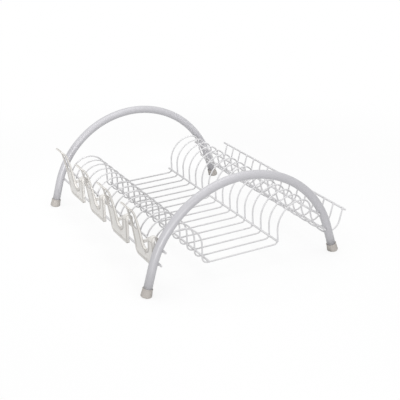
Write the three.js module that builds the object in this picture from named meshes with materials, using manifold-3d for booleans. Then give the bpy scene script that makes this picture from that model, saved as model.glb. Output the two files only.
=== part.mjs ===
// Dish drainer in coated steel. Two bent tube arches on moulded foot caps carry a basket of bent
// wires: a plate rack between two humps, with a cup tray on the right. Four moulded glass holders
// are clipped on two rails along the left side and slide on them.
// Millimetres, +Z up. The arches stand in planes of constant Y, near arch first. The origin is on
// the ground, in the middle of the outer box.
import * as THREE from 'three';
import { mergeVertices } from 'three/addons/utils/BufferGeometryUtils.js';
import Module from 'manifold-3d';

const wasm = await Module();
wasm.setup();

// Arches
const archSpan = 388; // between the middles of the two feet of one arch, on the ground
const archSpacing = 488; // between the two arch planes
const legLength = 51.2; // straight part of a leg, from the ground up to the bend
const legSplay = THREE.MathUtils.degToRad(15.8); // of a leg from the vertical
const tubeRadius = 8;
const tubeWall = 1.2;

// Foot caps, measured along the leg from the ground point
const capTopRadius = 9.3;
const capSoleRadius = 10.3;
const capHeight = 15.5;
const capSoleDepth = 0.8;
const capFloor = 3.5;
const capEdgeRadius = 2.6;
const capRimHeight = 1.8;
const capRimStep = 0.4;
const capClearance = 0.3;

// Basket wires and rails
const wireRadius = 1.5;
const railRadius = 2;
const weldGap = 0.3;
const wireCount = 16;
const upperLeftHeight = 78; // heights of the rails that the legs carry
const lowerLeftHeight = 55.8;
const upperRightHeight = 83.9;
const lowerRightHeight = 50.4;
const railStub = 10; // past the arch planes
const floorOverhang = 6; // of the floor rails past the first and last wire
const rimNearOverhang = 4;
const rimFarOverhang = 20;

// Side profile of the basket
const leftHumpRadius = 41.5; // of its outer side, down to the upper-left rail
const leftHumpInnerRadius = 39.5; // of its side over the plate floor
const leftHumpDrop = 5.6; // of its top below the top of the right hump
const rightHumpRadius = 50;
const shoulderRadius = 20.5;
const leftCornerRadius = 10.5;
const rightCornerRadius = 8.1;
const innerWallHeight = 17.8; // straight part of the wall between plate floor and right hump
const innerWallLean = THREE.MathUtils.degToRad(1.7); // of that wall over the plate floor
const floorRise = 2.7; // of the plate floor from its left corner to its right one
const wireEndDrop = 6; // of the wire ends below the upper-left rail
const trayArcRadius = 62.1;
const trayArcSweep = THREE.MathUtils.degToRad(59.7);
const trayCornerRadius = 25;
const trayWallLean = THREE.MathUtils.degToRad(15.1);
const trayWallHeight = 24.9;

// Glass holders
const holderCount = 4;
const holderWidth = 74; // along Y
const shortArmWidth = 20;
const slotWidth = 20;
const sheetThickness = 2.4;
const ribThickness = 2;
const rimDepth = 2; // of the ribs along the flare, from the middle of the sheet
const plateStandoff = 4.6; // from the middle of the lower-left rail to the middle of the sheet
const skirtDepth = 11; // below the lower-left rail
const slotFloorRise = 13; // above the lower-left rail
const nearSkirtCorner = 3.5;
const farSkirtCorner = 12;
const tongueFootLean = THREE.MathUtils.degToRad(4);
const tongueBowRadius = 489;
const tongueBowHeight = 85;
const flareRadius = 26;
const flareSweep = THREE.MathUtils.degToRad(35);
const lipLength = 6;
const tongueCorner = 13; // at most its share of the tongue's width
const tongueCornerShare = 0.45;
const windowWidth = 18;
const windowStart = 55; // above the bottom edge of the holder
const windowHeight = 31;
const hookRise = 12.5; // of the centre of the hook bend above the upper-left rail
const hookWidth = 10;
const clipClearance = 0.3;
const clipWall = 1.8;
const clipReach = 1.4; // of the jaws and ribs past the middle of the rail
const clipWebHeight = 5;
const sideClipWidth = 6;
const sideClipInset = 1; // from the slot's side of the tongue
const baseClipWidth = 16;
const holderNearGap = 4.5; // between the near leg and the first holder
const holderFarGap = 46; // between the last holder and the far leg
const overrun = 20; // of every cutting solid past what it cuts

// Counts of facets
const tubeSides = 12;
const boreSides = 8;
const wireSides = 6;
const railSides = 8;
const capSides = 12;
const archSteps = 20;
const quarterSteps = 3;
const leftHumpSteps = 4; // on each side of its top
const rightHumpSteps = 5;
const traySteps = 3;
const trayCornerSteps = 4;
const edgeSteps = 3;

const materials = {
  tube: new THREE.MeshStandardMaterial({ color: 0xc9c8cf, roughness: 0.38, metalness: 0.1 }),
  wire: new THREE.MeshStandardMaterial({ color: 0xdcdcdc, roughness: 0.4, metalness: 0.1 }),
  holder: new THREE.MeshStandardMaterial({ color: 0xe6e4de, roughness: 0.5, metalness: 0 }),
  cap: new THREE.MeshStandardMaterial({ color: 0xcfcac3, roughness: 0.6, metalness: 0 }),
};

// Outlines and paths

function point(x, z) {
  return { x, z };
}

function polar(centre, radius, angle) {
  return point(centre.x + radius * Math.cos(angle), centre.z + radius * Math.sin(angle));
}

// Points along an arc, each with the direction in which the path runs there.
function arcKnots(centre, radius, from, to, steps) {
  const turn = (Math.sign(to - from) * Math.PI) / 2;
  const knots = [];
  for (let i = 0; i <= steps; i += 1) {
    const angle = from + ((to - from) * i) / steps;
    knots.push({ ...polar(centre, radius, angle), heading: angle + turn });
  }
  return knots;
}

function straightOn(knot, length) {
  return { ...polar(knot, length, knot.heading), heading: knot.heading };
}

// A path through given knots in a plane of constant Y, so that each extrusion step ends on a knot.
class KnotPath extends THREE.Curve {
  constructor(knots) {
    super();
    this.knots = knots;
  }

  knotAt(share) {
    return this.knots[Math.round(share * (this.knots.length - 1))];
  }

  getPointAt(share, target = new THREE.Vector3()) {
    const knot = this.knotAt(share);
    return target.set(knot.x, 0, knot.z);
  }

  getTangentAt(share, target = new THREE.Vector3()) {
    const { heading } = this.knotAt(share);
    return target.set(Math.cos(heading), 0, Math.sin(heading));
  }
}

function polygon(radius, sides, phase) {
  const corners = [];
  for (let i = 0; i < sides; i += 1) {
    const angle = phase + (2 * Math.PI * i) / sides;
    corners.push(new THREE.Vector2(radius * Math.cos(angle), radius * Math.sin(angle)));
  }
  return corners;
}

function sweep(section, knots) {
  const extrudePath = new KnotPath(knots);
  return new THREE.ExtrudeGeometry(section, { steps: knots.length - 1, extrudePath });
}

// Solids and boolean cuts

function solid(geometry) {
  const bare = geometry.clone();
  bare.deleteAttribute('normal');
  bare.deleteAttribute('uv');
  const merged = mergeVertices(bare);
  const vertProperties = new Float32Array(merged.attributes.position.array);
  const triVerts = new Uint32Array(merged.index.array);
  return new wasm.Manifold(new wasm.Mesh({ numProp: 3, vertProperties, triVerts }));
}

function geometryOf(manifold) {
  const mesh = manifold.getMesh();
  const geometry = new THREE.BufferGeometry();
  geometry.setAttribute('position', new THREE.BufferAttribute(mesh.vertProperties, 3));
  geometry.setIndex(new THREE.BufferAttribute(mesh.triVerts, 1));
  return geometry;
}

// A prism along Y from an outline in X and Z.
function prismAlongY(outline, start, end) {
  const shape = new THREE.Shape(outline.map((corner) => new THREE.Vector2(corner.x, corner.z)));
  const geometry = new THREE.ExtrudeGeometry(shape, { depth: end - start, bevelEnabled: false });
  geometry.rotateX(Math.PI / 2);
  geometry.translate(0, end, 0);
  return solid(geometry);
}

// A prism along X from an outline in Y and Z.
function prismAlongX(outline, start, end) {
  const shape = new THREE.Shape(outline.map((corner) => new THREE.Vector2(corner.y, corner.z)));
  const geometry = new THREE.ExtrudeGeometry(shape, { depth: end - start, bevelEnabled: false });
  const alongX = new THREE.Vector3(1, 0, 0);
  const alongY = new THREE.Vector3(0, 1, 0);
  const alongZ = new THREE.Vector3(0, 0, 1);
  geometry.applyMatrix4(new THREE.Matrix4().makeBasis(alongY, alongZ, alongX));
  geometry.translate(start, 0, 0);
  return solid(geometry);
}

// Arches

const archHalfAngle = Math.PI / 2 - legSplay;
const archRadius = (archSpan / 2 - legLength * Math.cos(archHalfAngle)) / Math.sin(archHalfAngle);
const legTop = legLength * Math.sin(archHalfAngle);
const archCentre = point(0, legTop - archRadius * Math.cos(archHalfAngle));

function archKnots() {
  const quarter = Math.PI / 2;
  const bend = arcKnots(
    archCentre, archRadius, quarter + archHalfAngle, quarter - archHalfAngle, archSteps,
  );
  const tubeLength = legLength - capFloor - capClearance;
  const leftEnd = straightOn(bend[0], -tubeLength);
  const rightEnd = straightOn(bend[bend.length - 1], tubeLength);
  return [leftEnd, ...bend, rightEnd];
}

function archGeometry() {
  const section = new THREE.Shape(polygon(tubeRadius, tubeSides, Math.PI / tubeSides));
  section.holes.push(new THREE.Path(polygon(tubeRadius - tubeWall, boreSides, Math.PI / boreSides)));
  return sweep(section, archKnots());
}

// Distance of a rail's middle from the arch's middle line on the inside of a leg, at a height.
function insideLeg(height) {
  const offset = tubeRadius + weldGap + railRadius;
  const bendRadius = archRadius - offset;
  const rise = height - archCentre.z;
  if (rise >= bendRadius * Math.cos(archHalfAngle)) {
    return Math.sqrt(bendRadius ** 2 - rise ** 2);
  }
  return archSpan / 2 - height * Math.tan(legSplay) - offset / Math.cos(legSplay);
}

const upperLeftRail = point(-insideLeg(upperLeftHeight), upperLeftHeight);
const lowerLeftRail = point(-insideLeg(lowerLeftHeight), lowerLeftHeight);
const upperRightRail = point(insideLeg(upperRightHeight), upperRightHeight);
const lowerRightRail = point(insideLeg(lowerRightHeight), lowerRightHeight);

// Foot caps

function capProfile() {
  const bore = tubeRadius + capClearance;
  const edge = arcKnots(
    point(capSoleRadius - capEdgeRadius, capEdgeRadius - capSoleDepth),
    capEdgeRadius, -Math.PI / 2, 0, edgeSteps,
  );
  const corners = [
    point(0, -capSoleDepth),
    ...edge,
    point(capTopRadius, capHeight - capRimHeight),
    point(capTopRadius + capRimStep, capHeight - capRimHeight),
    point(capTopRadius + capRimStep, capHeight),
    point(bore, capHeight),
    point(bore, capFloor),
    point(0, capFloor),
  ];
  return corners.map((corner) => new THREE.Vector2(corner.x, corner.z));
}

// The cap of a leg on the given side, leaning with it and cut flat on the ground.
function capGeometry(side) {
  const cup = new THREE.LatheGeometry(capProfile(), capSides);
  const legAxis = new THREE.Vector3(-side * Math.sin(legSplay), Math.cos(legSplay), 0);
  const uprightAxis = new THREE.Vector3(0, 1, 0);
  cup.applyQuaternion(new THREE.Quaternion().setFromUnitVectors(uprightAxis, legAxis));
  cup.rotateX(Math.PI / 2);
  const blockHeight = capHeight + overrun;
  const ground = new THREE.BoxGeometry(
    capSoleRadius + capHeight + overrun, capSoleRadius + capHeight + overrun, blockHeight,
  );
  ground.translate(0, 0, -blockHeight / 2);
  return geometryOf(solid(cup).subtract(solid(ground)));
}

// Profile wires

const wireOffset = wireRadius + weldGap + railRadius; // between crossing middles
const wirePitch = archSpacing / wireCount;

function trayArcCentre() {
  const reach = trayArcRadius - wireOffset;
  const across = point(lowerRightRail.x - upperRightRail.x, lowerRightRail.z - upperRightRail.z);
  const distance = Math.hypot(across.x, across.z);
  const height = Math.sqrt(reach ** 2 - (distance / 2) ** 2);
  return point(
    upperRightRail.x + across.x / 2 - (height * across.z) / distance,
    upperRightRail.z + across.z / 2 + (height * across.x) / distance,
  );
}

function angleFrom(centre, target) {
  return Math.atan2(target.z - centre.z, target.x - centre.x);
}

const trayCentre = trayArcCentre();
const profileTop = trayCentre.z + shoulderRadius;
const shoulderX = trayCentre.x - trayArcRadius - shoulderRadius;
const rightHumpCentre = point(shoulderX, profileTop - rightHumpRadius);
const wallTop = polar(rightHumpCentre, rightHumpRadius, Math.PI + innerWallLean);
const wallFoot = polar(wallTop, -innerWallHeight, Math.PI / 2 + innerWallLean);
const rightCorner = polar(wallFoot, -rightCornerRadius, innerWallLean);
const leftHumpTop = profileTop - leftHumpDrop;
const leftHumpCentre = point(0, leftHumpTop - leftHumpRadius);
leftHumpCentre.x = upperLeftRail.x + Math.sqrt(
  (leftHumpRadius + wireOffset) ** 2 - (upperLeftRail.z - leftHumpCentre.z) ** 2,
);
const leftHumpInnerCentre = point(leftHumpCentre.x, leftHumpTop - leftHumpInnerRadius);
const leftCorner = point(
  leftHumpInnerCentre.x + leftHumpInnerRadius + leftCornerRadius,
  rightCorner.z - rightCornerRadius - floorRise + leftCornerRadius,
);
const floorLeftRail = point(leftCorner.x, leftCorner.z - leftCornerRadius + wireOffset);
const floorRightRail = polar(rightCorner, rightCornerRadius - wireOffset, innerWallLean);

function trayKnots() {
  const halfTurn = Math.PI;
  const upperContact = angleFrom(trayCentre, upperRightRail) + 2 * Math.PI;
  const lowerContact = angleFrom(trayCentre, lowerRightRail) + 2 * Math.PI;
  const sweepEnd = halfTurn + trayArcSweep;
  const bottomCentre = polar(trayCentre, trayArcRadius - trayCornerRadius, sweepEnd);
  const wallStart = 2 * Math.PI - trayWallLean;
  const knots = [
    ...arcKnots(trayCentre, trayArcRadius, halfTurn, upperContact, 1).slice(1),
    ...arcKnots(trayCentre, trayArcRadius, upperContact, lowerContact, traySteps).slice(1),
    ...arcKnots(trayCentre, trayArcRadius, lowerContact, sweepEnd, 1).slice(1),
    ...arcKnots(bottomCentre, trayCornerRadius, sweepEnd, wallStart, trayCornerSteps).slice(1),
  ];
  knots.push(straightOn(knots[knots.length - 1], trayWallHeight));
  return knots;
}

// The slope of the plate floor, which touches both of its corner bends from below.
function floorSlope() {
  const distance = Math.hypot(rightCorner.x - leftCorner.x, rightCorner.z - leftCorner.z);
  const tilt = Math.asin((leftCornerRadius - rightCornerRadius) / distance);
  return angleFrom(leftCorner, rightCorner) + tilt;
}

// From the wire's end under the upper-left rail over both humps to the rim of the tray.
function profileKnots() {
  const quarter = Math.PI / 2;
  const floorHeading = 3 * quarter + floorSlope();
  const wallHeading = 4 * quarter + innerWallLean;
  const contact = angleFrom(leftHumpCentre, upperLeftRail);
  const start = contact + wireEndDrop / leftHumpRadius;
  return [
    ...arcKnots(leftHumpCentre, leftHumpRadius, start, contact, 1),
    ...arcKnots(leftHumpCentre, leftHumpRadius, contact, quarter, leftHumpSteps).slice(1),
    ...arcKnots(leftHumpInnerCentre, leftHumpInnerRadius, quarter, 0, leftHumpSteps).slice(1),
    ...arcKnots(leftCorner, leftCornerRadius, 2 * quarter, floorHeading, quarterSteps),
    ...arcKnots(rightCorner, rightCornerRadius, floorHeading, wallHeading, quarterSteps),
    ...arcKnots(
      rightHumpCentre, rightHumpRadius, wallHeading - 2 * quarter, quarter, rightHumpSteps,
    ),
    ...arcKnots(
      point(shoulderX, trayCentre.z), shoulderRadius, quarter, 0, quarterSteps,
    ).slice(1),
    ...trayKnots(),
  ];
}

const trayRimEnd = trayKnots().pop();
const trayRimRail = polar(
  straightOn(trayRimEnd, -railRadius), wireOffset, trayRimEnd.heading - Math.PI / 2,
);

function wireGeometry() {
  return sweep(new THREE.Shape(polygon(wireRadius, wireSides, 0)), profileKnots());
}

// Rails

const firstWireY = -archSpacing / 2 + wirePitch / 2;

// A rod along Y at a place in X and Z.
function railGeometry(place, start, end) {
  const geometry = new THREE.CylinderGeometry(railRadius, railRadius, end - start, railSides);
  geometry.translate(place.x, (start + end) / 2, place.z);
  return geometry;
}

// Glass holders, built with their near edge at Y = 0

const holderBottom = lowerLeftRail.z - skirtDepth;
const slotFloor = lowerLeftRail.z + slotFloorRise;
const ribDepth = plateStandoff + clipReach;
const plateX = lowerLeftRail.x - plateStandoff;
const slotStart = shortArmWidth;
const slotEnd = shortArmWidth + slotWidth;
const hookRadius = (upperLeftRail.x - plateX) / 2;
const hookCentre = point(plateX + hookRadius, upperLeftRail.z + hookRise);
const tongueBowEnd = Math.asin(Math.sin(tongueFootLean) + tongueBowHeight / tongueBowRadius);

// The middle of the tongue's sheet, from the bottom edge up to the tip of its lip.
function tongueKnots() {
  const quarter = Math.PI / 2;
  const bowCentre = polar(point(plateX, holderBottom), tongueBowRadius, quarter * 2 + tongueFootLean);
  const bow = arcKnots(bowCentre, tongueBowRadius, tongueFootLean, tongueBowEnd, edgeSteps);
  const bowTop = bow[bow.length - 1];
  const flareCentre = polar(bowTop, flareRadius, tongueBowEnd + 2 * quarter);
  const flareEnd = tongueBowEnd + flareSweep;
  const flare = arcKnots(flareCentre, flareRadius, tongueBowEnd, flareEnd, edgeSteps);
  return [...bow, ...flare.slice(1), straightOn(flare[flare.length - 1], lipLength)];
}

// The middle of the short arm's sheet, up its outside and over to the upper-left rail.
function hookKnots() {
  const bend = arcKnots(hookCentre, hookRadius, Math.PI, 0, 2 * edgeSteps);
  const foot = { ...point(plateX, holderBottom), heading: Math.PI / 2 };
  return [foot, ...bend, straightOn(bend[bend.length - 1], hookRise - railRadius - clipClearance)];
}

// The outline of a sheet along knots: from one distance left of the path to one right of it.
function band(knots, left, right) {
  const side = Math.PI / 2;
  const leftEdge = knots.map((knot) => polar(knot, left, knot.heading + side));
  const rightEdge = knots.map((knot) => polar(knot, right, knot.heading - side));
  return [...leftEdge, ...rightEdge.reverse()];
}

// The outline of the tongue's ribs, full depth up to the slot's floor and shallow at the flare.
function tongueRibBand(knots) {
  const taperHeight = holderBottom + tongueBowHeight - slotFloor;
  const inner = knots.map((knot) => {
    const climbed = THREE.MathUtils.clamp((knot.z - slotFloor) / taperHeight, 0, 1);
    const depth = ribDepth + (rimDepth - ribDepth) * climbed;
    return polar(knot, depth, knot.heading - Math.PI / 2);
  });
  return [...knots, ...inner.reverse()];
}

function edgeArc(y, z, radiusY, radiusZ, from, to) {
  const corners = [];
  for (let i = 0; i <= edgeSteps; i += 1) {
    const angle = from + ((to - from) * i) / edgeSteps;
    corners.push({ y: y + radiusY * Math.cos(angle), z: z + radiusZ * Math.sin(angle) });
  }
  return corners;
}

// The holder seen from outside, drawn in by an inset all round.
function holderOutline(inset, tongueTop) {
  const quarter = Math.PI / 2;
  const nearCorner = nearSkirtCorner - inset;
  const farCorner = farSkirtCorner - inset;
  const tongueWidth = holderWidth - slotEnd;
  const tip = Math.min(tongueCorner, tongueWidth * tongueCornerShare) - inset;
  const crown = shortArmWidth / 2 - inset;
  const slotRadius = slotWidth / 2 + inset;
  const slotMiddle = (slotStart + slotEnd) / 2;
  const slotCentreZ = slotFloor + slotWidth / 2;
  const crownZ = hookCentre.z + hookRadius + sheetThickness / 2 - shortArmWidth / 2;
  const near = inset;
  const far = holderWidth - inset;
  const bottom = holderBottom + inset;
  const top = tongueTop - inset;
  return [
    ...edgeArc(
      near + nearCorner, bottom + nearCorner, nearCorner, nearCorner, 2 * quarter, 3 * quarter,
    ),
    ...edgeArc(far - farCorner, bottom + farCorner, farCorner, farCorner, 3 * quarter, 4 * quarter),
    ...edgeArc(far - tip, top - tip, tip, tip, 0, quarter),
    ...edgeArc(slotEnd + inset + tip, top - tip, tip, tip, quarter, 2 * quarter),
    ...edgeArc(slotMiddle, slotCentreZ, slotRadius, slotRadius, 0, -quarter),
    ...edgeArc(slotMiddle, slotCentreZ, slotRadius, slotRadius, -quarter, -2 * quarter).slice(1),
    ...edgeArc(shortArmWidth / 2, crownZ, crown, crown, 0, quarter),
    ...edgeArc(shortArmWidth / 2, crownZ, crown, crown, quarter, 2 * quarter).slice(1),
  ];
}

// The window in the tongue.
function windowOutline() {
  const quarter = Math.PI / 2;
  const radius = windowWidth / 2;
  const middle = (slotEnd + holderWidth) / 2;
  const low = holderBottom + windowStart + radius;
  const high = holderBottom + windowStart + windowHeight - radius;
  return [
    ...edgeArc(middle, low, radius, radius, 2 * quarter, 3 * quarter),
    ...edgeArc(middle, low, radius, radius, 3 * quarter, 4 * quarter).slice(1),
    ...edgeArc(middle, high, radius, radius, 0, quarter),
    ...edgeArc(middle, high, radius, radius, quarter, 2 * quarter).slice(1),
  ];
}

function circle(centre, radius) {
  return arcKnots(centre, radius, 0, 2 * Math.PI, 4 * edgeSteps).slice(1);
}

// A clip round a rail, open towards a direction, with its jaws cut off square to it.
function clipRing(rail, opening, start, end) {
  const bore = railRadius + clipClearance;
  const outside = bore + clipWall;
  const outerGap = Math.acos(clipReach / outside);
  const innerGap = Math.acos(clipReach / bore);
  const steps = 2 * edgeSteps;
  const full = 2 * Math.PI;
  return prismAlongY([
    ...arcKnots(rail, outside, opening + outerGap, opening + full - outerGap, steps),
    ...arcKnots(rail, bore, opening + full - innerGap, opening + innerGap, steps),
  ], start, end);
}

// The web that joins a clip to the sheet outside it.
function clipWeb(rail, from, start, end) {
  const to = rail.x - railRadius - clipClearance - clipWall / 2;
  const low = rail.z - clipWebHeight / 2;
  const high = rail.z + clipWebHeight / 2;
  return prismAlongY(
    [point(from, low), point(to, low), point(to, high), point(from, high)], start, end,
  );
}

function holderGeometry() {
  const tongue = tongueKnots();
  const hook = hookKnots();
  const halfSheet = sheetThickness / 2;
  const outermost = Math.min(...tongue.map((knot) => knot.x)) - overrun;
  const innermost = upperLeftRail.x + overrun;
  const tongueTop = Math.max(...tongue.map((knot) => knot.z)) + halfSheet;
  const slotMiddle = (slotStart + slotEnd) / 2;

  const outline = prismAlongX(holderOutline(0, tongueTop), outermost, innermost);
  const inside = prismAlongX(holderOutline(ribThickness, tongueTop), outermost, innermost);
  const window = prismAlongX(windowOutline(), outermost, innermost);
  const ribs = outline.subtract(inside);

  const shortSheet = prismAlongY(band(hook, halfSheet, halfSheet), 0, slotMiddle);
  const hookCut = prismAlongY([
    point(hookCentre.x, holderBottom), point(innermost, holderBottom),
    point(innermost, tongueTop), point(hookCentre.x, tongueTop),
  ], 0, holderWidth);
  const tallSheet = prismAlongY(band(tongue, halfSheet, halfSheet), slotMiddle, holderWidth);
  const sheets = shortSheet.subtract(hookCut).add(tallSheet).intersect(outline).subtract(window);

  const shortDeep = prismAlongY(band(hook, 0, ribDepth), 0, slotMiddle).subtract(hookCut);
  const tallDeep = prismAlongY(tongueRibBand(tongue), slotMiddle, holderWidth);
  const railBore = prismAlongY(circle(lowerLeftRail, railRadius + clipClearance), 0, holderWidth);
  const flanges = shortDeep.add(tallDeep).intersect(ribs).subtract(railBore);

  const hookStart = (shortArmWidth - hookWidth) / 2;
  const hookEnd = hookStart + hookWidth;
  const hookStrip = prismAlongY(band(hook, halfSheet, halfSheet), hookStart, hookEnd);
  const towardsHump = angleFrom(upperLeftRail, leftHumpCentre);
  const hookClip = clipRing(upperLeftRail, towardsHump, hookStart, hookEnd);

  const sideStart = slotEnd + sideClipInset;
  const sideEnd = sideStart + sideClipWidth;
  const sideClip = clipRing(upperLeftRail, towardsHump, sideStart, sideEnd)
    .add(clipWeb(upperLeftRail, tongueXAt(upperLeftRail.z), sideStart, sideEnd));

  const baseStart = slotMiddle - baseClipWidth / 2;
  const baseEnd = baseStart + baseClipWidth;
  const baseClip = clipRing(lowerLeftRail, 0, baseStart, baseEnd)
    .add(clipWeb(lowerLeftRail, tongueXAt(lowerLeftRail.z), baseStart, baseEnd));

  return geometryOf(
    sheets.add(flanges).add(hookStrip.intersect(outline)).add(hookClip).add(sideClip).add(baseClip),
  );
}

// Where the middle of the tongue's sheet is at a height on its bow.
function tongueXAt(height) {
  const lean = Math.asin(Math.sin(tongueFootLean) + (height - holderBottom) / tongueBowRadius);
  return plateX - tongueBowRadius * (Math.cos(tongueFootLean) - Math.cos(lean));
}

// Assembly

const basket = new THREE.Group();

function addPiece(name, geometry, material, x, y) {
  const mesh = new THREE.Mesh(geometry, material);
  mesh.name = name;
  mesh.position.set(x, y, 0);
  basket.add(mesh);
}

function addArches() {
  const arch = archGeometry();
  addPiece('arch_near', arch, materials.tube, 0, -archSpacing / 2);
  addPiece('arch_far', arch, materials.tube, 0, archSpacing / 2);
}

function addCaps() {
  for (const [end, endSign] of [['near', -1], ['far', 1]]) {
    for (const [side, sideSign] of [['left', -1], ['right', 1]]) {
      const name = `foot_cap_${end}_${side}`;
      const x = (sideSign * archSpan) / 2;
      addPiece(name, capGeometry(sideSign), materials.cap, x, (endSign * archSpacing) / 2);
    }
  }
}

function addWires() {
  const wire = wireGeometry();
  for (let i = 0; i < wireCount; i += 1) {
    const number = String(i + 1).padStart(2, '0');
    addPiece(`profile_wire_${number}`, wire, materials.wire, 0, firstWireY + i * wirePitch);
  }
}

function addRails() {
  const legEnd = archSpacing / 2 + railStub;
  const legRails = [
    ['upper_left_rail', upperLeftRail],
    ['lower_left_rail', lowerLeftRail],
    ['upper_right_rail', upperRightRail],
    ['lower_right_rail', lowerRightRail],
  ];
  for (const [name, place] of legRails) {
    addPiece(name, railGeometry(place, -legEnd, legEnd), materials.wire, 0, 0);
  }
  const basketRails = [
    ['floor_left_rail', floorLeftRail, floorOverhang, floorOverhang],
    ['floor_right_rail', floorRightRail, floorOverhang, floorOverhang],
    ['tray_rim_rail', trayRimRail, rimNearOverhang, rimFarOverhang],
  ];
  for (const [name, place, nearOverhang, farOverhang] of basketRails) {
    const rail = railGeometry(place, firstWireY - nearOverhang, farOverhang - firstWireY);
    addPiece(name, rail, materials.wire, 0, 0);
  }
}

function addHolders() {
  const holder = holderGeometry();
  const legSurface = archSpacing / 2 - tubeRadius;
  const first = -legSurface + holderNearGap;
  const last = legSurface - holderFarGap - holderWidth;
  for (let i = 0; i < holderCount; i += 1) {
    const y = first + ((last - first) * i) / (holderCount - 1);
    addPiece(`glass_holder_${i + 1}`, holder, materials.holder, 0, y);
  }
}

addArches();
addCaps();
addWires();
addRails();
addHolders();

const outerBox = new THREE.Box3().setFromObject(basket);
basket.position.x = -(outerBox.min.x + outerBox.max.x) / 2;

export default basket;
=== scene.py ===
import math

import bmesh
import bpy
from mathutils import Matrix, Vector


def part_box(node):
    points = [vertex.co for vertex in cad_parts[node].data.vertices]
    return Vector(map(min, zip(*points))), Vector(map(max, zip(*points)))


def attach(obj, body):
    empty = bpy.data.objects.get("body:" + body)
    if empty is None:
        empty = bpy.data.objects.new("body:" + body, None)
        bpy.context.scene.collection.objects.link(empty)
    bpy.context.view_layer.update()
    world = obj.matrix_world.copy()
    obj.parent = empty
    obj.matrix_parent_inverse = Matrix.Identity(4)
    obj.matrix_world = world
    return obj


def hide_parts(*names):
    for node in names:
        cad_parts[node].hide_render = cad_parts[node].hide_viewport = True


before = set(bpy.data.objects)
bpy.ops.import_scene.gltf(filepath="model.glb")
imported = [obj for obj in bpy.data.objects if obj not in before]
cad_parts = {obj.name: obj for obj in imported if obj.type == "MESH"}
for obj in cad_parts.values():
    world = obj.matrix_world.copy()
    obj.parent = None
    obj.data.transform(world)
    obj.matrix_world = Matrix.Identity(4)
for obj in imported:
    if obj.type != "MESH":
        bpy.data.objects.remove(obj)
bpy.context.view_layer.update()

ALONG_X = Vector((1, 0, 0))
ALONG_Y = Vector((0, 1, 0))
ALONG_Z = Vector((0, 0, 1))
QUARTER = math.pi / 2

# Arches and foot caps
ARCH_SPAN = 0.388
LEG_LENGTH = 0.0512
LEG_SPLAY = math.radians(15.8)
TUBE_RADIUS = 0.008
CAP_TOP_RADIUS = 0.0093
CAP_SOLE_RADIUS = 0.0103
CAP_HEIGHT = 0.0155
CAP_SOLE_DEPTH = 0.0008
CAP_FLOOR = 0.0035
CAP_EDGE_RADIUS = 0.0026
CAP_RIM_HEIGHT = 0.0018
CAP_RIM_STEP = 0.0004
CAP_RIM_ROUND = CAP_RIM_HEIGHT / 3
CAP_CLEARANCE = 0.0003
CAP_BORE_RADIUS = TUBE_RADIUS + CAP_CLEARANCE / 3
LEAST_RING_RADIUS = 0.0003

# Wires, rails and their welds
WIRE_RADIUS = 0.0015
RAIL_RADIUS = 0.002
WELD_GAP = 0.0003
WIRE_OFFSET = WIRE_RADIUS + WELD_GAP + RAIL_RADIUS
DOME_SHARE = 0.6
WIRE_WELD_REACH = 2 * WIRE_OFFSET
LEG_WELD_REACH = TUBE_RADIUS + 2 * RAIL_RADIUS
BEAD_SPREAD_SHARE = 1.75
BEAD_SIDE_SHARE = 0.86
BEAD_WAIST_SHARE = 0.3
BEAD_SINK = WELD_GAP / 4

# Side profile of the basket
LEFT_HUMP_RADIUS = 0.0415
LEFT_HUMP_INNER_RADIUS = 0.0395
LEFT_HUMP_DROP = 0.0056
RIGHT_HUMP_RADIUS = 0.05
SHOULDER_RADIUS = 0.0205
LEFT_CORNER_RADIUS = 0.0105
RIGHT_CORNER_RADIUS = 0.0081
INNER_WALL_HEIGHT = 0.0178
INNER_WALL_LEAN = math.radians(1.7)
FLOOR_RISE = 0.0027
WIRE_END_DROP = 0.006
TRAY_ARC_RADIUS = 0.0621
TRAY_ARC_SWEEP = math.radians(59.7)
TRAY_CORNER_RADIUS = 0.025
TRAY_WALL_LEAN = math.radians(15.1)
TRAY_WALL_HEIGHT = 0.0249

# Glass holders
HOLDER_WIDTH = 0.074
SHORT_ARM_WIDTH = 0.020
SLOT_WIDTH = 0.020
SHEET = 0.0024
RIB = 0.002
RIB_DEPTH = 0.0044
RIM_DEPTH = 0.002
PLATE_STANDOFF = 0.0046
SKIRT_DEPTH = 0.011
SLOT_FLOOR_RISE = 0.013
NEAR_SKIRT_CORNER = 0.0035
FAR_SKIRT_CORNER = 0.012
NEAR_TIP_CORNER = 0.007
FAR_TIP_CORNER = 0.003
LEAST_CORNER = 0.0008
TONGUE_FOOT_LEAN = math.radians(4)
TONGUE_BOW_RADIUS = 0.489
TONGUE_BOW_HEIGHT = 0.085
FLARE_RADIUS = 0.026
FLARE_SWEEP = math.radians(35)
LIP_LENGTH = 0.006
WINDOW_WIDTH = 0.0225
WINDOW_START = 0.0555
WINDOW_HEIGHT = 0.0355
WINDOW_CORNER = 0.006
PANEL_INSET = 0.0052
PANEL_RECESS = 0.0008
PANEL_TOP = 0.0945
HOOK_RISE = 0.0125
HOOK_WIDTH = 0.010
CLIP_CLEARANCE = 0.0003
CLIP_WALL = 0.0018
CLIP_REACH = 0.0014
CLIP_WEB_HEIGHT = 0.005
SIDE_CLIP_WIDTH = 0.006
SIDE_CLIP_INSET = 0.001
BASE_CLIP_WIDTH = 0.016
OVERRUN = 0.02

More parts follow.
